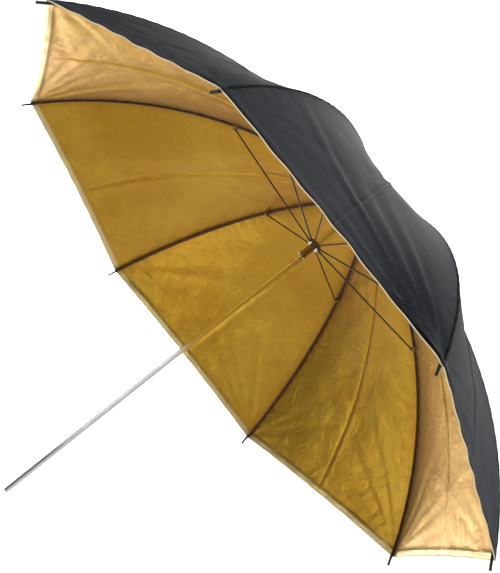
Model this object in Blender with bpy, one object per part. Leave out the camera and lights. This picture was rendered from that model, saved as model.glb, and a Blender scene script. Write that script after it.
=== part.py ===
"""Studio umbrella reflector, standing open. Metres, +Z up.

The shaft lies along +Y with its free end at the origin, and the gold side of the canopy faces -Y.
Rib 1 points up, and the others follow anticlockwise as seen from the free end of the shaft.
Pieces that swing with a rib are modelled in that rib's own plane: X outwards from the shaft,
Y along the shaft towards the apex, Z towards the next rib, zero on the rib's pivot.
"""

import math

import bmesh
import bpy
from mathutils import Matrix, Vector

# Driving dimensions
RIB_COUNT = 8
RIM_RADIUS = 0.510  # shaft axis to a corner of the canopy
RIB_BEND_RADIUS = 0.6188  # an open rib is an arc of this radius
RIM_Y = 0.4226  # the plane of the canopy's corners
SHAFT_RADIUS = 0.0040
SHAFT_BORE = 0.0032
PIVOT_RADIUS = 0.0085  # shaft axis to the rib pivots, and to the stretchers' inner ends
JOINT_RADIUS = 0.2474  # shaft axis to the rib where a stretcher meets it
JOINT_DROP = 0.0040  # rib centreline to the stretcher's rivet
RIB_RADIUS = 0.0014
STRETCHER_RADIUS = 0.0012
TONGUE = 0.0008  # half the thickness of a flattened rod end
SLOT = 0.0012  # half the width of a slot that takes a flattened end
GAP = 0.0004  # between pieces that touch or slide
CANOPY_STANDOFF = 0.0036  # rib centreline to the canopy's inner face
CANOPY_THICKNESS = 0.0010
PANEL_SAG = 0.010  # how far the middle of a panel is pulled in from a straight chord
HEM_DIP = 0.004  # how far the middle of a hem is cut back from a straight line
APEX_HOLE = 0.0060  # radius of the hole the shaft passes through

# Worked out from them
RIB_ANGLE = 2 * math.pi / RIB_COUNT
BEND_CENTRE_Y = RIM_Y - math.sqrt(RIB_BEND_RADIUS**2 - RIM_RADIUS**2)
NOTCH_Y = BEND_CENTRE_Y + math.sqrt(RIB_BEND_RADIUS**2 - PIVOT_RADIUS**2)
CANOPY_TOP_Y = BEND_CENTRE_Y + RIB_BEND_RADIUS + CANOPY_STANDOFF + CANOPY_THICKNESS
JOINT_BEND = math.asin(JOINT_RADIUS / RIB_BEND_RADIUS)
JOINT_X = (RIB_BEND_RADIUS - JOINT_DROP) * math.sin(JOINT_BEND) - PIVOT_RADIUS
JOINT_Y = BEND_CENTRE_Y + (RIB_BEND_RADIUS - JOINT_DROP) * math.cos(JOINT_BEND) - NOTCH_Y
RUNNER_Y = NOTCH_Y + 2 * JOINT_Y  # a stretcher is as long as the rib's inner part
STRETCHER_LENGTH = math.hypot(JOINT_X, JOINT_Y)
STRETCHER_SLOPE = math.atan2(JOINT_Y, -JOINT_X)  # from the rivet down to the runner

# Fittings
PIN_RADIUS = 0.0008
PIN_HOLE = PIN_RADIUS + 0.0003
EYE_RADIUS = 0.0022
EYE_HOLE = 0.0009
WIRE_RADIUS = 0.00045
NOTCH_RADIUS = 0.0108
NOTCH_TOP = 0.0022
NOTCH_BOTTOM = -0.0036
NOTCH_HUB_RADIUS = 0.0058
NOTCH_HUB_BOTTOM = -0.0080
NOTCH_PIN_Y = -0.0058
RUNNER_RADIUS = 0.0105
RUNNER_HALF_FLANGE = 0.0035
RUNNER_SLEEVE_RADIUS = 0.0056
RUNNER_SLEEVE_LENGTH = 0.0240
RUNNER_SLOT_FLOOR = 0.0066
RUNNER_TONGUE = 0.0015
SLEEVE_END_Y = RUNNER_Y - RUNNER_HALF_FLANGE - RUNNER_SLEEVE_LENGTH
CLIP_HALF_LENGTH = 0.0042
CLIP_INSIDE = 0.0017
CLIP_OUTSIDE = 0.0022
CLIP_EAR_END = -0.0064
TIP_RADIUS = 0.0022
TIP_BORE = 0.0017
TIP_INSIDE = 0.009  # how far a tip reaches in from the canopy's corner, along the rib
TIP_OUTSIDE = 0.015  # and out past it
ROD_PAST_CORNER = 0.004
CATCH_PIVOT_X = 0.0004
CATCH_PIVOT_Y = SLEEVE_END_Y - 0.018
CATCH_HALF_THICKNESS = 0.0006
CATCH_NOSE = 0.0066
CATCH_SLOT = 0.0010
CATCH_PLAY = 0.0008  # from the catch's nose to the sleeve it holds
PLUG_FLANGE = 0.0015
SHAFT_TOP_Y = CANOPY_TOP_Y + 0.006


def clear_scene():
    for thing in list(bpy.data.objects):
        bpy.data.objects.remove(thing, do_unlink=True)


def material(name, color, roughness, metallic):
    made = bpy.data.materials.new(name)
    made.use_nodes = True
    shader = made.node_tree.nodes["Principled BSDF"]
    shader.inputs["Base Color"].default_value = (*color, 1)
    shader.inputs["Roughness"].default_value = roughness
    shader.inputs["Metallic"].default_value = metallic
    made.diffuse_color = (*color, 1)
    return made


def finished(bm, name, sharp_angle=40):
    """The bmesh as a named mesh with outward faces, smooth except over sharp edges."""
    bmesh.ops.recalc_face_normals(bm, faces=bm.faces)
    mesh = bpy.data.meshes.new(name)
    bm.to_mesh(mesh)
    bm.free()
    mesh.shade_smooth()
    mesh.set_sharp_from_angle(angle=math.radians(sharp_angle))
    return mesh


def turned(name, outline, steps=24):
    """A closed outline of (radius, y) points spun about the Y axis."""
    bm = bmesh.new()
    points = [bm.verts.new((radius, y, 0)) for radius, y in outline]
    edges = [bm.edges.new((a, b)) for a, b in zip(points, points[1:] + points[:1], strict=True)]
    on_axis = [e for e in edges if all(v.co.x == 0 for v in e.verts)]
    bmesh.ops.delete(bm, geom=on_axis, context="EDGES_FACES")
    bmesh.ops.spin(
        bm,
        geom=bm.verts[:] + bm.edges[:],
        cent=(0, 0, 0),
        axis=(0, 1, 0),
        angle=2 * math.pi,
        steps=steps,
        use_merge=True,
    )
    bmesh.ops.remove_doubles(bm, verts=bm.verts, dist=1e-6)
    return finished(bm, name)


def plate(name, outline, half_thickness):
    """A flat outline of (x, y) points given thickness along Z."""
    bm = bmesh.new()
    face = bm.faces.new([bm.verts.new((x, y, -half_thickness)) for x, y in outline])
    grown = bmesh.ops.extrude_face_region(bm, geom=[face])
    top = [part for part in grown["geom"] if isinstance(part, bmesh.types.BMVert)]
    bmesh.ops.translate(bm, verts=top, vec=(0, 0, 2 * half_thickness))
    return finished(bm, name)


def swept(name, stations):
    """An eight-sided rod through stations of (centre, direction, half height, half width)."""
    bm = bmesh.new()
    rings = []
    for centre, direction, half_height, half_width in stations:
        up = Vector((-direction.y, direction.x, 0))
        ring = []
        for side in range(8):
            turn = math.tau * (side + 0.5) / 8
            offset = up * half_height * math.cos(turn) + Vector((0, 0, half_width * math.sin(turn)))
            ring.append(bm.verts.new(centre + offset / math.cos(math.pi / 8)))
        rings.append(ring)
    for near, far in zip(rings, rings[1:]):
        for side in range(8):
            after = (side + 1) % 8
            bm.faces.new((near[side], near[after], far[after], far[side]))
    bm.faces.new(rings[0])
    bm.faces.new(rings[-1])
    return finished(bm, name, 50)


def cylinder(radius, start, end, steps=12):
    """A cutting or pin cylinder between two points."""
    start, end = Vector(start), Vector(end)
    length = (end - start).length
    bm = bmesh.new()
    bmesh.ops.create_cone(
        bm, cap_ends=True, segments=steps, radius1=radius, radius2=radius, depth=length
    )
    turn = Vector((0, 0, 1)).rotation_difference(end - start).to_matrix().to_4x4()
    bmesh.ops.transform(bm, matrix=Matrix.Translation((start + end) / 2) @ turn, verts=bm.verts)
    return finished(bm, "cylinder")


def block(low, high):
    bm = bmesh.new()
    bmesh.ops.create_cube(bm, size=1)
    low, high = Vector(low), Vector(high)
    bmesh.ops.scale(bm, vec=high - low, verts=bm.verts)
    bmesh.ops.translate(bm, vec=(low + high) / 2, verts=bm.verts)
    return finished(bm, "block")


def carved(mesh, cutters):
    """The mesh with every cutter taken away from it."""
    body = bpy.data.objects.new("body", mesh)
    bpy.context.scene.collection.objects.link(body)
    tools = []
    for cutter in cutters:
        tool = bpy.data.objects.new("cutter", cutter)
        bpy.context.scene.collection.objects.link(tool)
        modifier = body.modifiers.new("cut", "BOOLEAN")
        modifier.operation = "DIFFERENCE"
        modifier.object = tool
        tools.append(tool)
    graph = bpy.context.evaluated_depsgraph_get()
    result = bpy.data.meshes.new_from_object(body.evaluated_get(graph))
    result.name = mesh.name
    for temporary in [body, *tools]:
        bpy.data.objects.remove(temporary, do_unlink=True)
    result.shade_smooth()
    result.set_sharp_from_angle(angle=math.radians(40))
    return result


def place(name, mesh, look, parent=None, location=(0, 0, 0), turn=0.0):
    """Adds a named piece, turned about the shaft's direction."""
    thing = bpy.data.objects.new(name, mesh)
    if not mesh.materials:
        mesh.materials.append(look)
    thing.location = location
    thing.rotation_euler = (0, turn, 0)
    thing.parent = parent
    bpy.context.scene.collection.objects.link(thing)
    return thing


def radial_slots(inner_radius, low_y, high_y):
    """Cutters for one slot under each rib, from the inner radius outwards."""
    cutters = []
    for number in range(RIB_COUNT):
        cutter = block((inner_radius, low_y, -SLOT), (0.02, high_y, SLOT))
        cutter.transform(Matrix.Rotation(number * RIB_ANGLE, 4, "Y"))
        cutters.append(cutter)
    return cutters


def rib_point(bend, off=0.0):
    """(x, y) in a rib's plane, the angle `bend` along its arc and `off` outside its centreline."""
    reach = RIB_BEND_RADIUS + off
    return (
        reach * math.sin(bend) - PIVOT_RADIUS,
        BEND_CENTRE_Y + reach * math.cos(bend) - NOTCH_Y,
    )


def rib_station(bend, half_height, half_width):
    centre = Vector((*rib_point(bend), 0))
    return centre, Vector((math.cos(bend), -math.sin(bend), 0)), half_height, half_width


# Fixed pieces on the shaft


def make_shaft():
    tube = turned(
        "shaft_tube",
        [
            (SHAFT_BORE, PLUG_FLANGE + GAP),
            (SHAFT_RADIUS, PLUG_FLANGE + GAP),
            (SHAFT_RADIUS, SHAFT_TOP_Y),
            (SHAFT_BORE, SHAFT_TOP_Y),
        ],
    )
    reach = 2 * SHAFT_RADIUS
    pin_heights = (NOTCH_Y + NOTCH_PIN_Y, stop_pin_y())
    holes = [cylinder(PIN_HOLE, (-reach, y, 0), (reach, y, 0)) for y in pin_heights]
    holes.append(
        cylinder(PIN_HOLE, (0, CATCH_PIVOT_Y, -reach), (0, CATCH_PIVOT_Y, reach))
    )
    window = block(
        (0.001, CATCH_PIVOT_Y + 0.004, -CATCH_SLOT), (reach, SLEEVE_END_Y + 0.001, CATCH_SLOT)
    )
    # The pins cross between two ribs, and the catch's window faces a gap between two ribs too.
    mesh = carved(tube, [*holes, window])
    return place("shaft_tube", mesh, LOOKS["chrome"], turn=RIB_ANGLE / 2)


def make_end_plug():
    mesh = turned(
        "shaft_end_plug",
        [
            (0, 0),
            (SHAFT_RADIUS - 0.0008, 0),
            (SHAFT_RADIUS, 0.0008),
            (SHAFT_RADIUS, PLUG_FLANGE),
            (SHAFT_BORE - GAP, PLUG_FLANGE),
            (SHAFT_BORE - GAP, 0.010),
            (0, 0.010),
        ],
    )
    return place("shaft_end_plug", mesh, LOOKS["plug"])


def stop_pin_y():
    return RUNNER_Y + RUNNER_HALF_FLANGE + GAP + PIN_RADIUS


def make_cross_pin(name, y):
    half = NOTCH_HUB_RADIUS - 0.0002
    mesh = cylinder(PIN_RADIUS, (-half, 0, 0), (half, 0, 0))
    return place(name, mesh, LOOKS["pin"], location=(0, y, 0), turn=RIB_ANGLE / 2)


def make_notch():
    bore = SHAFT_RADIUS + GAP
    body = turned(
        "rib_notch",
        [
            (bore, NOTCH_HUB_BOTTOM),
            (NOTCH_HUB_RADIUS, NOTCH_HUB_BOTTOM),
            (NOTCH_HUB_RADIUS, NOTCH_BOTTOM),
            (NOTCH_RADIUS, NOTCH_BOTTOM),
            (NOTCH_RADIUS, -PIN_RADIUS),
            (PIVOT_RADIUS - PIN_RADIUS, -PIN_RADIUS),
            (PIVOT_RADIUS - PIN_RADIUS, PIN_RADIUS),
            (NOTCH_RADIUS, PIN_RADIUS),
            (NOTCH_RADIUS, NOTCH_TOP),
            (bore, NOTCH_TOP),
        ],
        steps=32,
    )
    slots = radial_slots(PIVOT_RADIUS - EYE_RADIUS - GAP, NOTCH_BOTTOM - 0.001, NOTCH_TOP + 0.001)
    across = Vector((0.01, 0, 0))
    across.rotate(Matrix.Rotation(RIB_ANGLE / 2, 3, "Y"))
    height = Vector((0, NOTCH_PIN_Y, 0))
    pin_hole = cylinder(PIN_HOLE, height - across, height + across)
    mesh = carved(body, [*slots, pin_hole])
    return place("rib_notch", mesh, LOOKS["black_plastic"], location=(0, NOTCH_Y, 0))


def make_notch_wire():
    outline = []
    for side in range(6):
        turn = math.tau * side / 6
        outline.append(
            (PIVOT_RADIUS + WIRE_RADIUS * math.cos(turn), WIRE_RADIUS * math.sin(turn))
        )
    mesh = turned("notch_wire", outline, steps=32)
    return place("notch_wire", mesh, LOOKS["pin"], location=(0, NOTCH_Y, 0))


def make_washer():
    bore = SHAFT_RADIUS + GAP
    mesh = turned(
        "apex_washer", [(bore, 0), (0.0125, 0), (0.0125, 0.0010), (bore, 0.0010)], steps=32
    )
    return place("apex_washer", mesh, LOOKS["washer"], location=(0, CANOPY_TOP_Y + GAP, 0))


def make_apex_cap():
    bore = SHAFT_RADIUS + GAP
    base_radius = 0.0112
    dome_height = 0.0125
    dome = [(base_radius, 0.0015)]
    for step in range(1, 6):
        turn = math.pi / 2 * step / 6
        dome.append((base_radius * math.cos(turn), 0.0015 + dome_height * math.sin(turn)))
    mesh = turned(
        "apex_cap",
        [
            (bore, 0),
            (base_radius, 0),
            *dome,
            (0, 0.0015 + dome_height),
            (0, 0.0060),
            (bore, 0.0060),
        ],
    )
    base_y = CANOPY_TOP_Y + 0.0010 + 2 * GAP
    return place("apex_cap", mesh, LOOKS["black_plastic"], location=(0, base_y, 0))


# The runner and its catch


def make_runner():
    bore = SHAFT_RADIUS + GAP
    body = turned(
        "runner",
        [
            (bore, -RUNNER_HALF_FLANGE - RUNNER_SLEEVE_LENGTH),
            (RUNNER_SLEEVE_RADIUS, -RUNNER_HALF_FLANGE - RUNNER_SLEEVE_LENGTH),
            (RUNNER_SLEEVE_RADIUS, -RUNNER_HALF_FLANGE),
            (RUNNER_RADIUS, -RUNNER_HALF_FLANGE),
            (RUNNER_RADIUS, RUNNER_HALF_FLANGE),
            (bore, RUNNER_HALF_FLANGE),
        ],
        steps=32,
    )
    past = RUNNER_HALF_FLANGE + 0.001
    mesh = carved(body, radial_slots(RUNNER_SLOT_FLOOR, -past, past))
    return place("runner", mesh, LOOKS["runner"], location=(0, RUNNER_Y, 0))


def make_catch():
    """A flat spring-steel dog on a pin inside the shaft; its nose stops the runner's sleeve."""
    face_y = SLEEVE_END_Y - CATCH_PLAY - CATCH_PIVOT_Y
    nose_x = CATCH_NOSE - CATCH_PIVOT_X
    eye = 0.0014
    rounding = [(eye * math.cos(a), eye * math.sin(a)) for a in map(math.radians, range(180, 361, 30))]
    outline = [
        *rounding,
        (0.0020, 0.006),
        (nose_x - 0.0020, face_y - 0.0085),
        (nose_x, face_y - 0.0015),
        (nose_x, face_y),
        (0.0002, face_y),
        (-eye, 0.006),
    ]
    mesh = plate("runner_catch", outline, CATCH_HALF_THICKNESS)
    mesh = carved(mesh, [cylinder(EYE_HOLE, (0, 0, -0.002), (0, 0, 0.002), 10)])
    centre = Matrix.Rotation(RIB_ANGLE / 2, 3, "Y") @ Vector((CATCH_PIVOT_X, CATCH_PIVOT_Y, 0))
    return place("runner_catch", mesh, LOOKS["pin"], location=centre, turn=RIB_ANGLE / 2)


def make_catch_pin():
    half = SHAFT_RADIUS + GAP / 2
    mesh = cylinder(WIRE_RADIUS, (0, 0, -half), (0, 0, half), 8)
    centre = Matrix.Rotation(RIB_ANGLE / 2, 3, "Y") @ Vector((CATCH_PIVOT_X, CATCH_PIVOT_Y, 0))
    return place("catch_pin", mesh, LOOKS["pin"], location=centre, turn=RIB_ANGLE / 2)


# The pieces of one rib, in that rib's plane


def rib_mesh():
    """A spring-steel rod with a flattened eye that hangs on the notch wire."""
    start = math.asin(PIVOT_RADIUS / RIB_BEND_RADIUS)
    corner = math.asin(RIM_RADIUS / RIB_BEND_RADIUS)
    end = corner + ROD_PAST_CORNER / RIB_BEND_RADIUS
    flat_ends = [(-EYE_RADIUS, 0.0012), (-0.0010, EYE_RADIUS), (0.0012, EYE_RADIUS), (0.0055, 0.0017)]
    stations = [rib_station(start + s / RIB_BEND_RADIUS, height, TONGUE) for s, height in flat_ends]
    round_start = start + 0.0095 / RIB_BEND_RADIUS
    tip_start = corner - (TIP_INSIDE + 0.001) / RIB_BEND_RADIUS
    count = 18
    for step in range(count + 1):
        bend = round_start + (tip_start - round_start) * step / count
        stations.append(rib_station(bend, RIB_RADIUS, RIB_RADIUS))
    stations.append(rib_station(end, RIB_RADIUS, RIB_RADIUS))
    rod = swept("rib", stations)
    return carved(rod, [cylinder(EYE_HOLE, (0, 0, -0.002), (0, 0, 0.002), 10)])


def tip_mesh():
    """A ferrule on the rod's end that the canopy's corner is stitched to."""
    length = TIP_INSIDE + TIP_OUTSIDE
    bore_depth = TIP_INSIDE + ROD_PAST_CORNER + GAP
    mesh = turned(
        "rib_tip",
        [
            (TIP_BORE, 0),
            (TIP_RADIUS - 0.0001, 0),
            (TIP_RADIUS, TIP_INSIDE),
            (TIP_RADIUS - 0.0003, length - 0.0030),
            (TIP_RADIUS + 0.0002, length - 0.0018),
            (TIP_RADIUS - 0.0006, length),
            (0, length),
            (0, bore_depth),
            (TIP_BORE, bore_depth),
        ],
        steps=12,
    )
    bend = math.asin(RIM_RADIUS / RIB_BEND_RADIUS) - TIP_INSIDE / 2 / RIB_BEND_RADIUS
    x, y = rib_point(bend)
    along = Vector((math.cos(bend), -math.sin(bend), 0))
    turn = Vector((0, 1, 0)).rotation_difference(along).to_matrix().to_4x4()
    start = Vector((x, y, 0)) - along * TIP_INSIDE / 2
    mesh.transform(Matrix.Translation(start) @ turn)
    return mesh


def to_joint():
    """Carries a shape from a frame on the rib at its joint, X along the rib and Y outwards."""
    x, y = rib_point(JOINT_BEND)
    return Matrix.Translation((x, y, 0)) @ Matrix.Rotation(-JOINT_BEND, 4, "Z")


def clip_mesh():
    """A folded saddle over the rib, whose two ears hold the stretcher's rivet."""
    bm = bmesh.new()
    section = [
        (CLIP_OUTSIDE, -CLIP_OUTSIDE),
        (CLIP_OUTSIDE, CLIP_OUTSIDE),
        (CLIP_EAR_END, CLIP_OUTSIDE),
        (CLIP_EAR_END, CLIP_INSIDE),
        (CLIP_INSIDE, CLIP_INSIDE),
        (CLIP_INSIDE, -CLIP_INSIDE),
        (CLIP_EAR_END, -CLIP_INSIDE),
        (CLIP_EAR_END, -CLIP_OUTSIDE),
    ]
    face = bm.faces.new([bm.verts.new((-CLIP_HALF_LENGTH, y, z)) for y, z in section])
    grown = bmesh.ops.extrude_face_region(bm, geom=[face])
    far = [part for part in grown["geom"] if isinstance(part, bmesh.types.BMVert)]
    bmesh.ops.translate(bm, verts=far, vec=(2 * CLIP_HALF_LENGTH, 0, 0))
    saddle = finished(bm, "stretcher_clip")
    # The ears are cut away on the side that the stretcher swings past when the canopy shuts.
    side = 2 * CLIP_HALF_LENGTH
    trims = [
        block((x, -side, -side), (x + side, -RIB_RADIUS - 0.0006, side))
        for x in (-side - 0.0024, 0.0024)
    ]
    rivet_hole = cylinder(PIN_HOLE, (0, -JOINT_DROP, -side), (0, -JOINT_DROP, side), 10)
    mesh = carved(saddle, [*trims, rivet_hole])
    mesh.transform(to_joint())
    return mesh


def rivet_mesh():
    head = 2 * PIN_RADIUS
    inner = CLIP_OUTSIDE + 0.0003
    outer = inner + 0.0006
    outline = [
        (0, -outer),
        (head * 0.6, -outer),
        (head, -inner),
        (PIN_RADIUS, -inner),
        (PIN_RADIUS, inner),
        (head, inner),
        (head * 0.6, outer),
        (0, outer),
    ]
    mesh = turned("clip_rivet", outline, steps=10)
    across = Matrix.Translation((0, -JOINT_DROP, 0)) @ Matrix.Rotation(math.pi / 2, 4, "X")
    mesh.transform(to_joint() @ across)
    return mesh


def stretcher_mesh():
    """A rod with flattened ends: an eye on the rivet, and a tongue in the runner's slot."""
    along = Vector((math.cos(STRETCHER_SLOPE), math.sin(STRETCHER_SLOPE), 0))
    stations = []
    for s, height, width in [
        (-0.0019, 0.0010, TONGUE),
        (-0.0010, 0.0019, TONGUE),
        (0.0012, 0.0019, TONGUE),
        (0.0050, 0.0013, TONGUE),
        (0.0080, STRETCHER_RADIUS, STRETCHER_RADIUS),
        (STRETCHER_LENGTH / 2, STRETCHER_RADIUS, STRETCHER_RADIUS),
        (STRETCHER_LENGTH - 0.0110, STRETCHER_RADIUS, STRETCHER_RADIUS),
        (STRETCHER_LENGTH - 0.0075, 0.0014, TONGUE),
        (STRETCHER_LENGTH + 0.0006, RUNNER_TONGUE, TONGUE),
        (STRETCHER_LENGTH + RUNNER_TONGUE, 0.0007, TONGUE),
    ]:
        stations.append((along * s, along, height, width))
    rod = swept("stretcher", stations)
    return carved(rod, [cylinder(PIN_HOLE, (0, 0, -0.002), (0, 0, 0.002), 10)])


def panel_mesh():
    """One panel between a rib and the next, its two faces a fabric thickness apart."""
    along_steps = 14
    across_steps = 6
    seam_gap = 0.0003
    first = math.asin(APEX_HOLE / RIB_BEND_RADIUS)
    last = math.asin(RIM_RADIUS / RIB_BEND_RADIUS)
    axis = Vector((-PIVOT_RADIUS, 0, 0))
    next_rib = Matrix.Rotation(-RIB_ANGLE, 4, "Y")
    middle = Matrix.Rotation(-RIB_ANGLE / 2, 4, "Y")

    def point(along, across, off):
        bulge = 4 * across * (1 - across)
        bend = first + (last - bulge * HEM_DIP / RIB_BEND_RADIUS - first) * along
        x, y = rib_point(bend, off)
        from_axis = Vector((x, y, 0)) - axis
        near = from_axis + Vector((0, 0, seam_gap))
        far = next_rib @ (from_axis - Vector((0, 0, seam_gap)))
        inwards = middle @ Vector((-math.sin(bend), -math.cos(bend), 0))
        sag = PANEL_SAG * math.sin(math.pi * along**0.9) ** 0.8 if 0 < along < 1 else 0
        return axis + near.lerp(far, across) + inwards * sag * bulge

    bm = bmesh.new()
    faces = []
    for off in (CANOPY_STANDOFF, CANOPY_STANDOFF + CANOPY_THICKNESS):
        faces.append(
            [
                [
                    bm.verts.new(point(i / along_steps, j / across_steps, off))
                    for j in range(across_steps + 1)
                ]
                for i in range(along_steps + 1)
            ]
        )
    for grid in faces:
        for i in range(along_steps):
            for j in range(across_steps):
                bm.faces.new((grid[i][j], grid[i + 1][j], grid[i + 1][j + 1], grid[i][j + 1]))
    edge = [(i, 0) for i in range(along_steps)]
    edge += [(along_steps, j) for j in range(across_steps)]
    edge += [(i, across_steps) for i in range(along_steps, 0, -1)]
    edge += [(0, j) for j in range(across_steps, 0, -1)]
    inner, outer = faces
    for (i, j), (k, m) in zip(edge, edge[1:] + edge[:1], strict=True):
        bm.faces.new((inner[i][j], inner[k][m], outer[k][m], outer[i][j]))
    return finished(bm, "canopy_panel", 30)


def make_rib_assemblies():
    """Eight empties on the rib pivots, each with its rib, tip, clip, rivet, stretcher and panel."""
    meshes = {
        "rib": (rib_mesh(), "rib_steel"),
        "rib_tip": (tip_mesh(), "tip"),
        "stretcher_clip": (clip_mesh(), "clip"),
        "clip_rivet": (rivet_mesh(), "pin"),
        "canopy_panel": (panel_mesh(), "gold_fabric"),
    }
    stretcher = stretcher_mesh()
    for number in range(1, RIB_COUNT + 1):
        lean = -RIB_ANGLE * (number - 1)
        hinge = bpy.data.objects.new(f"rib_pivot_{number}", None)
        hinge.empty_display_size = 0.01
        hinge.location = (PIVOT_RADIUS * math.sin(lean), NOTCH_Y, PIVOT_RADIUS * math.cos(lean))
        hinge.rotation_euler = (0, lean - math.pi / 2, 0)
        bpy.context.scene.collection.objects.link(hinge)
        for name, (mesh, look) in meshes.items():
            place(f"{name}_{number}", mesh, LOOKS[look], parent=hinge)
        rivet = (JOINT_X, JOINT_Y, 0)
        place(f"stretcher_{number}", stretcher, LOOKS["stretcher_steel"], hinge, rivet)


clear_scene()
LOOKS = {
    "chrome": material("chrome", (0.80, 0.80, 0.82), 0.15, 1.0),
    "plug": material("plug", (0.72, 0.72, 0.74), 0.25, 1.0),
    "pin": material("pin", (0.62, 0.62, 0.64), 0.3, 1.0),
    "black_plastic": material("black_plastic", (0.02, 0.02, 0.022), 0.45, 0.0),
    "washer": material("washer", (0.015, 0.015, 0.016), 0.8, 0.0),
    "runner": material("runner", (0.05, 0.045, 0.04), 0.35, 0.6),
    "rib_steel": material("rib_steel", (0.05, 0.04, 0.03), 0.35, 0.7),
    "stretcher_steel": material("stretcher_steel", (0.10, 0.08, 0.05), 0.35, 0.8),
    "clip": material("clip", (0.30, 0.27, 0.22), 0.35, 1.0),
    "tip": material("tip", (0.01, 0.01, 0.01), 0.4, 0.0),
    "gold_fabric": material("gold_fabric", (0.62, 0.43, 0.12), 0.35, 0.8),
}
make_shaft()
make_end_plug()
make_cross_pin("runner_stop_pin", stop_pin_y())
make_cross_pin("notch_pin", NOTCH_Y + NOTCH_PIN_Y)
make_notch()
make_notch_wire()
make_washer()
make_apex_cap()
make_runner()
make_catch()
make_catch_pin()
make_rib_assemblies()
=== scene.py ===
"""Looks of the umbrella reflector: gold-lined canopy, chrome shaft, enamelled steel ribs."""

import math

import bmesh
import bpy
from mathutils import Matrix, Vector, noise


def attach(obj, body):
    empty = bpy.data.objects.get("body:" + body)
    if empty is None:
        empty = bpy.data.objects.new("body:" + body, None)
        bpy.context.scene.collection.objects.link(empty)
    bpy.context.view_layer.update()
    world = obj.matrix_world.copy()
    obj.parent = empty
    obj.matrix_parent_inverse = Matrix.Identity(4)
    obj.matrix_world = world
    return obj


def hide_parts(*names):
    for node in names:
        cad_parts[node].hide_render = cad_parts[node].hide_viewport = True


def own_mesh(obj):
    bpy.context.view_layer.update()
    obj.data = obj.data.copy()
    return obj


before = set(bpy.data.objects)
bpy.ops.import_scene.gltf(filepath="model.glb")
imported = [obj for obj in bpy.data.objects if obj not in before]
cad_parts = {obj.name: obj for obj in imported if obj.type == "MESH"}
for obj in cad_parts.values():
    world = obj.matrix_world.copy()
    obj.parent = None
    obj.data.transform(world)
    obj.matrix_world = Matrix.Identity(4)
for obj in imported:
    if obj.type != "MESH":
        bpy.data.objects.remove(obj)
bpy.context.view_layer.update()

# The frame's sizes in metres, as the CAD has them.
RIB_COUNT = 8
RIB_ANGLE = 2 * math.pi / RIB_COUNT
RIM_RADIUS = 0.510
RIB_BEND_RADIUS = 0.6188
RIM_Y = 0.4226
BEND_CENTRE_Y = RIM_Y - math.sqrt(RIB_BEND_RADIUS**2 - RIM_RADIUS**2)
STANDOFF = 0.0036  # rib centreline to the cloth's inner face
APEX_HOLE = 0.0060
FIRST_BEND = math.asin(APEX_HOLE / RIB_BEND_RADIUS)
LAST_BEND = math.asin(RIM_RADIUS / RIB_BEND_RADIUS)
RIB_LENGTH = RIB_BEND_RADIUS * (LAST_BEND - FIRST_BEND)
HEM_CHORD = 2 * RIM_RADIUS * math.sin(RIB_ANGLE / 2)

CLOTH = 0.0006  # thickness of the cloth as shown
PANEL_SAG = 0.010
HEM_DIP = 0.004
HEM_WIDTH = 0.011
HEM_RAISE = 0.0009  # the folded hem is this much thicker
FOLD_HEIGHT = 0.0024
STRONG_PULL = 2.3  # the near lower corner, where the cloth is pulled hardest
SEAM_WIDTH = 0.0056
SEAM_STITCH = 0.36  # share of the seam's width from its middle to each row of stitches
SEAM_HEIGHT = 0.0007
SEAM_STEPS = 150
SEAM_PROFILE = [  # (share of its width from the middle, share of its height)
    (-0.5, 0.0), (-0.44, 0.9), (-0.2, 1.0), (0.0, 1.25), (0.2, 1.0), (0.44, 0.9), (0.5, 0.0),
]
PUCKER_PITCH = 0.0033  # the puckers that the stitches of a seam draw up
ALONG_STEPS = 100
ACROSS_STEPS = 60
STITCH_LINE = HEM_WIDTH - 0.0015  # how far up from the hem its stitches run
STITCH_PITCH = 0.0032
STITCH_WIDTH = 0.0007
WEAVE_PITCH = 0.0009
FOLD_PITCH = 0.0035  # share of the panel's width between the columns at the storage fold
FOLD_STEPS = 9

# ------------------------------------------------------------------ node helpers


def new_material(name):
    made = bpy.data.materials.new(name)
    made.use_nodes = True
    return made, made.node_tree, made.node_tree.nodes["Principled BSDF"]


def node(tree, kind, **settings):
    made = tree.nodes.new(kind)
    for key, value in settings.items():
        setattr(made, key, value)
    return made


def put(target, value):
    """Sets a socket to a number or colour, or links another socket to it."""
    if isinstance(value, bpy.types.NodeSocket):
        target.id_data.links.new(value, target)
    else:
        target.default_value = value


def calc(tree, operation, a, b=0.0):
    made = node(tree, "ShaderNodeMath", operation=operation)
    for socket, value in zip(made.inputs, (a, b)):
        put(socket, value)
    return made.outputs[0]


def mixed(tree, factor, a, b):
    made = node(tree, "ShaderNodeMix", data_type="RGBA")
    put(made.inputs["Factor"], factor)
    put(made.inputs[6], a)
    put(made.inputs[7], b)
    return made.outputs[2]


def ramp(tree, value, low, high, from_low=0.0, from_high=1.0):
    made = node(tree, "ShaderNodeMapRange", clamp=True)
    for socket, number in zip(made.inputs, (value, from_low, from_high, low, high)):
        put(socket, number)
    return made.outputs[0]


def noise_of(tree, vector, scale, detail=3.0, rough=0.5, distortion=0.0):
    made = node(tree, "ShaderNodeTexNoise")
    put(made.inputs["Vector"], vector)
    made.inputs["Scale"].default_value = scale
    made.inputs["Detail"].default_value = detail
    made.inputs["Roughness"].default_value = rough
    made.inputs["Distortion"].default_value = distortion
    return made.outputs["Fac"]


def bump(tree, height, distance, strength=1.0, under=None):
    made = node(tree, "ShaderNodeBump")
    made.inputs["Strength"].default_value = strength
    made.inputs["Distance"].default_value = distance
    put(made.inputs["Height"], height)
    if under is not None:
        put(made.inputs["Normal"], under)
    return made.outputs["Normal"]


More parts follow.
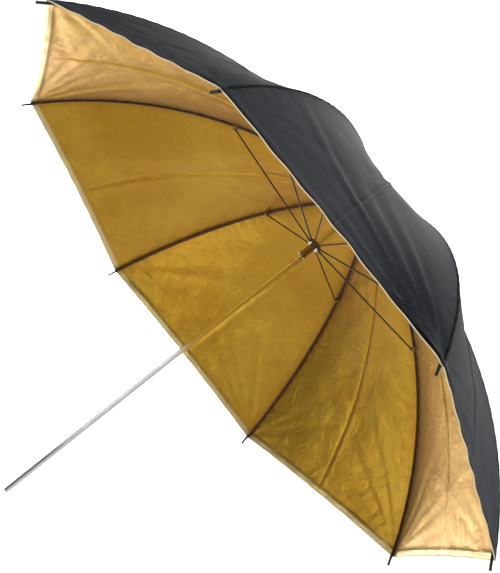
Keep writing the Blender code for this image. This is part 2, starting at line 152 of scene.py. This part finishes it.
def uv_parts(tree):
    """The cloth's flat coordinates in metres: along its width, and up from its hem."""
    coords = node(tree, "ShaderNodeUVMap", uv_map="flat")
    split = node(tree, "ShaderNodeSeparateXYZ")
    put(split.inputs[0], coords.outputs[0])
    return coords.outputs[0], split.outputs[0], split.outputs[1]


def object_coords(tree):
    return node(tree, "ShaderNodeTexCoord").outputs["Object"]


# ------------------------------------------------------------------ materials


def weave_height(tree, vector):
    """A plain weave: two crossed sets of threads, one pitch apart."""
    split = node(tree, "ShaderNodeSeparateXYZ")
    put(split.inputs[0], vector)
    warp = calc(tree, "SINE", calc(tree, "MULTIPLY", split.outputs[0], 2 * math.pi / WEAVE_PITCH))
    weft = calc(tree, "SINE", calc(tree, "MULTIPLY", split.outputs[1], 2 * math.pi / WEAVE_PITCH))
    return calc(tree, "MULTIPLY", warp, weft)


def stitch_mask(tree, run, distance):
    """1 on the row of stitches that lies STITCH_LINE from an edge, 0 elsewhere."""
    off = calc(tree, "ABSOLUTE", calc(tree, "SUBTRACT", distance, STITCH_LINE))
    on_line = calc(tree, "LESS_THAN", off, STITCH_WIDTH / 2)
    step = calc(tree, "FRACT", calc(tree, "DIVIDE", run, STITCH_PITCH))
    on_stitch = calc(tree, "LESS_THAN", step, 0.68)
    return calc(tree, "MULTIPLY", on_line, on_stitch)


def gold_cloth():
    made, tree, shader = new_material("gold_lining")
    uv, run, up = uv_parts(tree)
    place = object_coords(tree)
    broad = noise_of(tree, place, 7.0, 3, 0.5)
    fine = noise_of(tree, place, 60.0, 4, 0.6, 0.6)
    patches = ramp(tree, broad, 0, 1, 0.35, 0.65)
    tone = mixed(tree, patches, (0.43, 0.210, 0.007, 1), (0.50, 0.280, 0.020, 1))
    tone = mixed(tree, ramp(tree, fine, 0.0, 0.35, 0.45, 0.75), tone, (0.29, 0.14, 0.012, 1))
    hem = calc(tree, "LESS_THAN", up, HEM_WIDTH)
    tone = mixed(tree, calc(tree, "MULTIPLY", hem, 0.45), tone, (0.84, 0.70, 0.36, 1))
    # Painted shade beside each rib: a wide darker orange-brown band and a narrow dark band stand in for the
    # rib's shadow on the cloth. The photo is browner beside each rib. That it is the seam allowance is a
    # guess.
    from_seam = node(tree, "ShaderNodeAttribute", attribute_name="from_seam").outputs["Fac"]
    rib_shade_band = ramp(tree, from_seam, 0.55, 0.0, 0.003, 0.016)
    tone = mixed(tree, rib_shade_band, tone, (0.34, 0.125, 0.004, 1))
    rib_shadow_band = ramp(tree, from_seam, 0.85, 0.0, 0.0018, 0.0026)
    tone = mixed(tree, rib_shadow_band, tone, (0.085, 0.034, 0.006, 1))
    stitches = stitch_mask(tree, run, up)
    tone = mixed(tree, calc(tree, "MULTIPLY", stitches, 0.8), tone, (0.14, 0.09, 0.03, 1))
    put(shader.inputs["Base Color"], tone)
    shader.inputs["Metallic"].default_value = 0.85
    put(shader.inputs["Roughness"], ramp(tree, fine, 0.26, 0.42))
    shader.inputs["Coat Weight"].default_value = 0.15
    shader.inputs["Coat Roughness"].default_value = 0.34
    shader.inputs["Sheen Weight"].default_value = 0.30
    shader.inputs["Sheen Roughness"].default_value = 0.35
    shader.inputs["Sheen Tint"].default_value = (1.0, 0.88, 0.60, 1)
    creases = noise_of(tree, place, 26.0, 5, 0.55, 1.4)
    rough = bump(tree, creases, 0.0035, 0.55)
    crumple = noise_of(tree, place, 150.0, 4, 0.6, 0.4)
    rough = bump(tree, crumple, 0.0006, 0.5, rough)
    rough = bump(tree, weave_height(tree, uv), 0.00008, 0.35, rough)
    rough = bump(tree, stitches, 0.0004, 0.8, rough)
    put(shader.inputs["Normal"], rough)
    return made


def hem_highlight_cloth():
    """The hem's bottom edge, cream all round: a painted highlight along the rim. The
    hem's bottom edge, cream in the photo. That its coating wore off is a guess.
    """
    made, tree, shader = new_material("hem_edge")
    uv, _, _ = uv_parts(tree)
    place = object_coords(tree)
    tone = mixed(tree, noise_of(tree, place, 90.0, 4), (0.95, 0.90, 0.74, 1), (0.80, 0.70, 0.46, 1))
    put(shader.inputs["Base Color"], tone)
    shader.inputs["Metallic"].default_value = 0.1
    put(shader.inputs["Roughness"], ramp(tree, noise_of(tree, place, 200.0), 0.35, 0.55))
    put(shader.inputs["Normal"], bump(tree, weave_height(tree, uv), 0.0001, 0.4))
    return made


def black_cloth():
    made, tree, shader = new_material("black_outer")
    uv, run, up = uv_parts(tree)
    place = object_coords(tree)
    broad = noise_of(tree, place, 5.0, 4, 0.55)
    patches = ramp(tree, broad, 0, 1, 0.35, 0.65)
    tone = mixed(tree, patches, (0.042, 0.0445, 0.052, 1), (0.058, 0.061, 0.070, 1))
    # A thin pale line along the middle of every panel's outside, on the crest that the mesh gives the storage
    # fold:
    # a painted highlight along that crest.
    from_fold = calc(tree, "ABSOLUTE", run)
    wear_and_highlight = ramp(tree, from_fold, 0.25, 0.0, 0.0003, 0.0014)
    tone = mixed(tree, wear_and_highlight, tone, (0.17, 0.18, 0.19, 1))
    hem = calc(tree, "LESS_THAN", up, 0.0035)
    tone = mixed(tree, calc(tree, "MULTIPLY", hem, 0.9), tone, (0.006, 0.006, 0.007, 1))
    stitches = stitch_mask(tree, run, up)
    tone = mixed(tree, stitches, tone, (0.012, 0.012, 0.014, 1))
    put(shader.inputs["Base Color"], tone)
    put(shader.inputs["Roughness"], ramp(tree, broad, 0.56, 0.68))
    shader.inputs["Specular IOR Level"].default_value = 0.06
    shader.inputs["Sheen Weight"].default_value = 0.03
    shader.inputs["Sheen Roughness"].default_value = 0.4
    shader.inputs["Sheen Tint"].default_value = (0.80, 0.83, 0.90, 1)
    creases = noise_of(tree, place, 18.0, 4, 0.5, 1.0)
    rough = bump(tree, creases, 0.003, 0.45)
    rough = bump(tree, noise_of(tree, place, 130.0, 3), 0.0004, 0.35, rough)
    rough = bump(tree, weave_height(tree, uv), 0.00008, 0.5, rough)
    rough = bump(tree, stitches, 0.0004, 0.8, rough)
    put(shader.inputs["Normal"], rough)
    return made


def metal(name, color, roughness, metallic=1.0, brushed=400.0, wear=None):
    """Bare or plated metal, with fine scratches and slightly uneven gloss."""
    made, tree, shader = new_material(name)
    place = object_coords(tree)
    stretched = node(tree, "ShaderNodeMapping")
    stretched.inputs["Scale"].default_value = (1.0, 0.08, 1.0)
    put(stretched.inputs["Vector"], place)
    scratch = noise_of(tree, stretched.outputs[0], brushed, 4, 0.6)
    dull = noise_of(tree, place, 40.0, 3)
    tone = mixed(tree, ramp(tree, dull, 0, 0.5, 0.4, 0.8), (*color, 1), (*[c * 0.72 for c in color], 1))
    if wear is not None:
        wear_and_highlight = ramp(tree, noise_of(tree, place, 210.0, 5, 0.65), 0, 1, 0.60, 0.70)
        tone = mixed(tree, wear_and_highlight, tone, (*wear, 1))
    put(shader.inputs["Base Color"], tone)
    shader.inputs["Metallic"].default_value = metallic
    put(shader.inputs["Roughness"], ramp(tree, scratch, roughness * 0.8, roughness * 1.35, 0.3, 0.7))
    put(shader.inputs["Normal"], bump(tree, scratch, 0.00006, 0.3))
    return made


def plastic(name, color, roughness):
    made, tree, shader = new_material(name)
    place = object_coords(tree)
    grain = noise_of(tree, place, 900.0, 3, 0.6)
    mottle = noise_of(tree, place, 70.0, 3)
    lighter = [c * 1.5 + 0.002 for c in color]
    tone = mixed(tree, ramp(tree, mottle, 0, 1, 0.3, 0.7), (*color, 1), (*lighter, 1))
    put(shader.inputs["Base Color"], tone)
    put(shader.inputs["Roughness"], ramp(tree, mottle, roughness * 0.9, roughness * 1.15))
    put(shader.inputs["Normal"], bump(tree, grain, 0.00005, 0.4))
    return made


# ------------------------------------------------------------------ the canopy


def rib_profile(bend, off):
    """(distance from the shaft's axis, y) of the cloth over a rib."""
    reach = RIB_BEND_RADIUS + off
    return reach * math.sin(bend), BEND_CENTRE_Y + reach * math.cos(bend)


def corner_folds(along, across, k):
    """Folds that fan out of a panel's two rim corners, where the cloth is pulled hardest."""
    height = 0.0
    up = (1 - along) * RIB_LENGTH
    for side in (0, 1):
        side_way = (across if side == 0 else 1 - across) * HEM_CHORD * max(along, 0.04)
        reach = math.hypot(side_way, up)
        if reach < 1e-5 or reach > 0.42:
            continue
        turn = math.atan2(up, side_way)
        seed = 2.6 * k + 5.1 * side
        pull = STRONG_PULL if (k, side) == (7, 0) else 0.42 + 0.22 * math.sin(seed)
        for i, middle in enumerate((0.20, 0.42, 0.72, 1.05)):
            middle += 0.05 * math.sin(seed + 1.9 * i)
            width = max(0.050 + 0.014 * math.sin(seed * 1.3 + i), 0.0050 / reach)
            length = 0.074 + 0.020 * math.sin(seed + 2.2 * i)
            bent = middle + 0.10 * reach * math.sin(seed + i)
            crest = math.exp(-(((turn - bent) / width) ** 2))
            trough = 0.55 * math.exp(-(((turn - bent - 1.8 * width) / (1.3 * width)) ** 2))
            far = reach / length
            fade = far ** 1.5 * math.exp(1.7 * (1 - far))
            height += FOLD_HEIGHT * pull * (crest - trough) * fade
    return height


def surface_height(along, across, k):
    """How far the cloth stands out from its smooth tensioned shape."""
    seed = 1.9 * k
    spread = HEM_CHORD * max(along, 0.04)
    edge = min(across, 1 - across) * spread
    free = min(1.0, edge / 0.010)
    from_hem = (1 - along) * RIB_LENGTH
    # The storage fold down the middle of the panel: a sharp crest with a shallow trough beside it.
    from_fold = (across - 0.5) * spread
    beside = 0.6 * math.exp(-(((from_fold - 0.008) / 0.006) ** 2))
    sharp = math.exp(-abs(from_fold) / 0.0035) - beside
    fold = 0.0022 * sharp * math.sin(math.pi * min(1.0, 0.12 + along * 0.88)) ** 0.5
    # Slow waves across the panel and short puckers beside the seams and the hem.
    place = Vector((across * 3.1 + seed, along * 4.3, seed))
    waves = 0.0026 * noise.noise(place) + 0.0012 * noise.noise(place * 2.7)
    run = along * RIB_LENGTH
    ripple = math.sin(run / PUCKER_PITCH + seed + 0.8 * math.sin(run / 0.011))
    pucker = 0.00070 * ripple * math.exp(-edge / 0.011)
    scallop = 0.0009 * math.sin(across * HEM_CHORD / 0.0085 + seed) * math.exp(-from_hem / 0.014)
    top = min(1.0, along / 0.12)
    bulge = 4 * across * (1 - across)
    height = waves * bulge + fold + corner_folds(along, across, k) + scallop * bulge
    return (height * free + pucker * min(1.0, edge / 0.002)) * top


def cloth_point(k, along, across, off):
    """A point of panel k in the row frame: along from apex to hem, across from rib k to the next."""
    bulge = 4 * across * (1 - across)
    bend = FIRST_BEND + (LAST_BEND - bulge * HEM_DIP / RIB_BEND_RADIUS - FIRST_BEND) * along
    height = surface_height(along, across, k)
    reach, y = rib_profile(bend, off + height)
    start = -RIB_ANGLE * (k - 1)
    near = Vector((reach * math.sin(start), y, reach * math.cos(start)))
    far = Vector((reach * math.sin(start - RIB_ANGLE), y, reach * math.cos(start - RIB_ANGLE)))
    sag = PANEL_SAG * math.sin(math.pi * along**0.9) ** 0.8 if 0 < along < 1 else 0.0
    turn = start - RIB_ANGLE / 2
    inwards = Vector((-math.sin(bend) * math.sin(turn), -math.cos(bend), -math.sin(bend) * math.cos(turn)))
    return near.lerp(far, across) + inwards * sag * bulge


def spaced_rows():
    """Rows from apex to hem, close together at the hem's fold."""
    fold = 1 - HEM_WIDTH / RIB_LENGTH
    rows = [fold * i / ALONG_STEPS for i in range(ALONG_STEPS)]
    return rows + [fold, fold + 0.0012, fold + 0.006, fold + 0.012, 1.0]


def columns():
    """Columns from rib to rib, closer together beside the seams and at the storage fold."""
    first = 0.12  # 0 would crowd the columns at the seams as a full cosine does
    turns = [first + (1 - 2 * first) * j / ACROSS_STEPS for j in range(ACROSS_STEPS + 1)]
    spots = [0.5 - 0.5 * math.cos(math.pi * turn) / math.cos(first * math.pi) for turn in turns]
    at_fold = [0.5 + FOLD_PITCH * j for j in range(-FOLD_STEPS, FOLD_STEPS + 1)]
    clear = FOLD_PITCH * (FOLD_STEPS + 0.5)
    return sorted([spot for spot in spots if abs(spot - 0.5) > clear] + at_fold)


def make_panel(k, looks):
    rows = spaced_rows()
    spots = columns()
    bm = bmesh.new()
    flat = bm.loops.layers.uv.new("flat")
    fold = 1 - HEM_WIDTH / RIB_LENGTH
    from_seam = bm.verts.layers.float.new("from_seam")
    layers = []
    for side in (0, 1):
        grid = []
        for along in rows:
            raised = HEM_RAISE if along > fold + 0.0006 else 0.0
            off = STANDOFF + CLOTH * side + (raised if side else -raised * 0.5)
            grid.append([bm.verts.new(cloth_point(k, along, across, off)) for across in spots])
            for vert, across in zip(grid[-1], spots):
                vert[from_seam] = min(across, 1 - across) * HEM_CHORD * max(along, 0.02)
        layers.append(grid)

    def coords(i, j):
        return ((spots[j] - 0.5) * HEM_CHORD * max(rows[i], 0.02), (1 - rows[i]) * RIB_LENGTH)

    def face(corners, places, look):
        made = bm.faces.new(corners)
        made.material_index = look
        made.smooth = True
        for loop, at in zip(made.loops, places):
            loop[flat].uv = at

    inner, outer = layers
    for i in range(len(rows) - 1):
        for j in range(len(spots) - 1):
            ring = [(i, j), (i + 1, j), (i + 1, j + 1), (i, j + 1)]
            at = [coords(*q) for q in ring]
            face([inner[a][b] for a, b in ring], at, 0)
            back = [ring[0], ring[3], ring[2], ring[1]]  # split along the same diagonal as the inner face
            face([outer[a][b] for a, b in back], [coords(*q) for q in back], 1)
    last_row, last_spot = len(rows) - 1, len(spots) - 1
    edge = [(i, 0) for i in range(last_row)] + [(last_row, j) for j in range(last_spot)]
    edge += [(i, last_spot) for i in range(last_row, 0, -1)] + [(0, j) for j in range(last_spot, 0, -1)]
    for p, q in zip(edge, edge[1:] + edge[:1]):
        at = [coords(*p), coords(*q), coords(*q), coords(*p)]
        look = 2 if p[0] == q[0] == last_row else 1
        face([inner[p[0]][p[1]], outer[p[0]][p[1]], outer[q[0]][q[1]], inner[q[0]][q[1]]], at, look)
    bmesh.ops.recalc_face_normals(bm, faces=bm.faces)
    mesh = bpy.data.meshes.new(f"gore_{k}")
    bm.to_mesh(mesh)
    bm.free()
    for look in looks:
        mesh.materials.append(look)
    made = bpy.data.objects.new(f"gore_{k}", mesh)
    bpy.context.collection.objects.link(made)
    return made


def make_seam(k, look):
    """The felled seam over a rib, on the canopy's outside: a narrow band with a row of stitches each side."""
    steps, profile = SEAM_STEPS, SEAM_PROFILE
    start = -RIB_ANGLE * (k - 1)
    outwards = Vector((math.sin(start), 0, math.cos(start)))
    sideways = Vector((math.cos(start), 0, -math.sin(start)))
    bm = bmesh.new()
    flat = bm.loops.layers.uv.new("flat")
    rows = []
    for i in range(steps + 1):
        along = 0.02 + 0.965 * i / steps
        bend = FIRST_BEND + (LAST_BEND - FIRST_BEND) * along
        width = SEAM_WIDTH * (0.45 + 0.55 * min(1.0, along / 0.2))
        wander = 0.0003 * math.sin(along * 40 + k)
        row = []
        for side, rise in profile:
            pucker = 1 + 0.25 * math.sin(along * RIB_LENGTH / PUCKER_PITCH + 2 * k)
            lift = STANDOFF + CLOTH + SEAM_HEIGHT * rise * pucker - 0.00015
            lift -= abs(side) * width * math.tan(RIB_ANGLE / 2) * math.sin(bend) * 0.9
            reach, y = rib_profile(bend, lift)
            spot = outwards * reach + Vector((0, y, 0)) + sideways * (side * width + wander)
            row.append(bm.verts.new(spot))
        rows.append(row)
    for i in range(steps):
        for j in range(len(profile) - 1):
            made = bm.faces.new((rows[i][j], rows[i + 1][j], rows[i + 1][j + 1], rows[i][j + 1]))
            made.smooth = True
            for loop, (a, b) in zip(made.loops, ((i, j), (i + 1, j), (i + 1, j + 1), (i, j + 1))):
                from_line = (abs(profile[b][0]) - SEAM_STITCH) * SEAM_WIDTH
                loop[flat].uv = (a / steps * RIB_LENGTH, STITCH_LINE + from_line)
    # Known fault: the faces have no normals yet, so the second layer lies on the first and the
    # rim faces have no area. bm.normal_update() before this line gives the band its thickness.
    bmesh.ops.solidify(bm, geom=bm.faces, thickness=-0.0003)
    bmesh.ops.recalc_face_normals(bm, faces=bm.faces)
    mesh = bpy.data.meshes.new(f"seam_{k}")
    bm.to_mesh(mesh)
    bm.free()
    mesh.materials.append(look)
    made = bpy.data.objects.new(f"seam_{k}", mesh)
    bpy.context.collection.objects.link(made)
    return made


# ------------------------------------------------------------------ build

black = black_cloth()
CLOTH_LOOKS = (gold_cloth(), black, hem_highlight_cloth())
for k in range(1, RIB_COUNT + 1):
    seam = make_seam(k, black)
    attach(seam, f"rib_{k}_assembly")
    panel = make_panel(k, CLOTH_LOOKS)
    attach(panel, f"panel_{k}_body")
    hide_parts(f"canopy_panel_{k}")
    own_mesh(panel)

LOOKS = {
    "shaft_tube": metal("chrome_tube", (0.86, 0.86, 0.87), 0.10),
    "shaft_end_plug": metal("chrome_plug", (0.80, 0.80, 0.82), 0.16),
    "pin": metal("steel_pin", (0.62, 0.62, 0.63), 0.28),
    "runner": metal("runner_nickel", (0.26, 0.22, 0.18), 0.28, 0.9, wear=(0.50, 0.46, 0.40)),
    "rib": metal("rib_enamel", (0.085, 0.048, 0.024), 0.36, 0.45, wear=(0.20, 0.14, 0.08)),
    "stretcher": metal("stretcher_enamel", (0.085, 0.052, 0.028), 0.36, 0.45, wear=(0.24, 0.17, 0.10)),
    "clip": metal("clip_plate", (0.42, 0.36, 0.29), 0.30),
    "tip": plastic("tip_black", (0.010, 0.010, 0.011), 0.38),
    "hub": plastic("hub_black", (0.016, 0.016, 0.018), 0.42),
    "washer": plastic("washer_rubber", (0.012, 0.012, 0.012), 0.75),
}
LOOK_OF = [
    ("shaft_tube", "shaft_tube"), ("shaft_end_plug", "shaft_end_plug"), ("runner_catch", "pin"),
    ("catch_pin", "pin"), ("runner_stop_pin", "pin"), ("notch_pin", "pin"), ("notch_wire", "pin"),
    ("rib_notch", "hub"), ("apex_washer", "washer"), ("apex_cap", "hub"), ("runner", "runner"),
    ("rib_tip_", "tip"), ("rib_", "rib"), ("stretcher_clip_", "clip"), ("clip_rivet_", "pin"),
    ("stretcher_", "stretcher"),
]
for name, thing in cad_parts.items():
    look = next((look for start, look in LOOK_OF if name.startswith(start)), None)
    if look:
        for slot in thing.material_slots:
            slot.material = LOOKS[look]

# ------------------------------------------------------------------ stage, light, camera


def soft_light(name, spot, target, size, power, color=(1, 1, 1)):
    data = bpy.data.lights.new(name, "AREA")
    data.shape = "DISK"
    data.size = size
    data.energy = power
    data.color = color
    lamp = bpy.data.objects.new(name, data)
    bpy.context.collection.objects.link(lamp)
    lamp.location = spot
    lamp.rotation_euler = (Vector(target) - Vector(spot)).to_track_quat("-Z", "Y").to_euler()
    return lamp


floor_mesh = bpy.data.meshes.new("floor")
bm = bmesh.new()
bmesh.ops.create_grid(bm, x_segments=1, y_segments=1, size=30)
bm.to_mesh(floor_mesh)
bm.free()
floor = bpy.data.objects.new("floor", floor_mesh)
bpy.context.collection.objects.link(floor)
floor.location = (0, 0, -1.1)
floor_look, floor_tree, floor_shader = new_material("floor_paper")
floor_shader.inputs["Base Color"].default_value = (0.93, 0.93, 0.93, 1)
floor_shader.inputs["Roughness"].default_value = 0.9
floor_shader.inputs["Emission Color"].default_value = (1, 1, 1, 1)
# Painted light: the floor itself glows, dimmer near the umbrella and brighter from 2.5 to 8 m away.
away = node(floor_tree, "ShaderNodeVectorMath", operation="LENGTH")
put(away.inputs[0], object_coords(floor_tree))
put(floor_shader.inputs["Emission Strength"], ramp(floor_tree, away.outputs["Value"], 0.25, 0.85, 2.5, 8.0))
floor.data.materials.append(floor_look)

world = bpy.data.worlds.new("studio")
bpy.context.scene.world = world
world.use_nodes = True
world.node_tree.nodes["Background"].inputs["Color"].default_value = (1, 1, 1, 1)
# Pale near the horizon, as the floor is, and dimmer overhead.
sky = node(world.node_tree, "ShaderNodeSeparateXYZ")
put(sky.inputs[0], node(world.node_tree, "ShaderNodeTexCoord").outputs["Generated"])
from_horizon = calc(world.node_tree, "ABSOLUTE", sky.outputs[2])
glow = ramp(world.node_tree, from_horizon, 0.80, 0.17, 0.10, 0.36)
put(world.node_tree.nodes["Background"].inputs["Strength"], glow)
bpy.context.scene.view_settings.view_transform = "Standard"

CENTRE = (0, RIM_Y, 0)
soft_light("key", (-2.2, -0.1, -0.7), CENTRE, 0.9, 7.5)
soft_light("front", (-0.13, -1.8, 1.3), CENTRE, 1.5, 19, (0.90, 1.0, 1.0))
soft_light("top", (1.4, 1.0, 2.8), CENTRE, 1.2, 6)
soft_light("rim", (-0.4, 2.6, -0.2), CENTRE, 1.0, 4)
backdrop = soft_light("backdrop", (-9.0, 3.0, 3.5), (-9.0, 3.0, -1.1), 12.0, 3200)
backdrop.data.spread = math.radians(105)

camera_data = bpy.data.cameras.new("camera")
camera_data.sensor_width = 36
camera_data.lens = 76.16
camera = bpy.data.objects.new("camera", camera_data)
bpy.context.collection.objects.link(camera)
CAMERA_AT = Vector((1.5905, -0.0874, 0.6418))
CAMERA_TO = Vector((0.0057, 0.4562, 0.0147))
CAMERA_ROLL = math.radians(31.49)
aim = (CAMERA_TO - CAMERA_AT).to_track_quat("-Z", "Y").to_matrix()
camera.matrix_world = Matrix.Translation(CAMERA_AT) @ (aim @ Matrix.Rotation(-CAMERA_ROLL, 3, "Z")).to_4x4()
bpy.context.scene.camera = camera
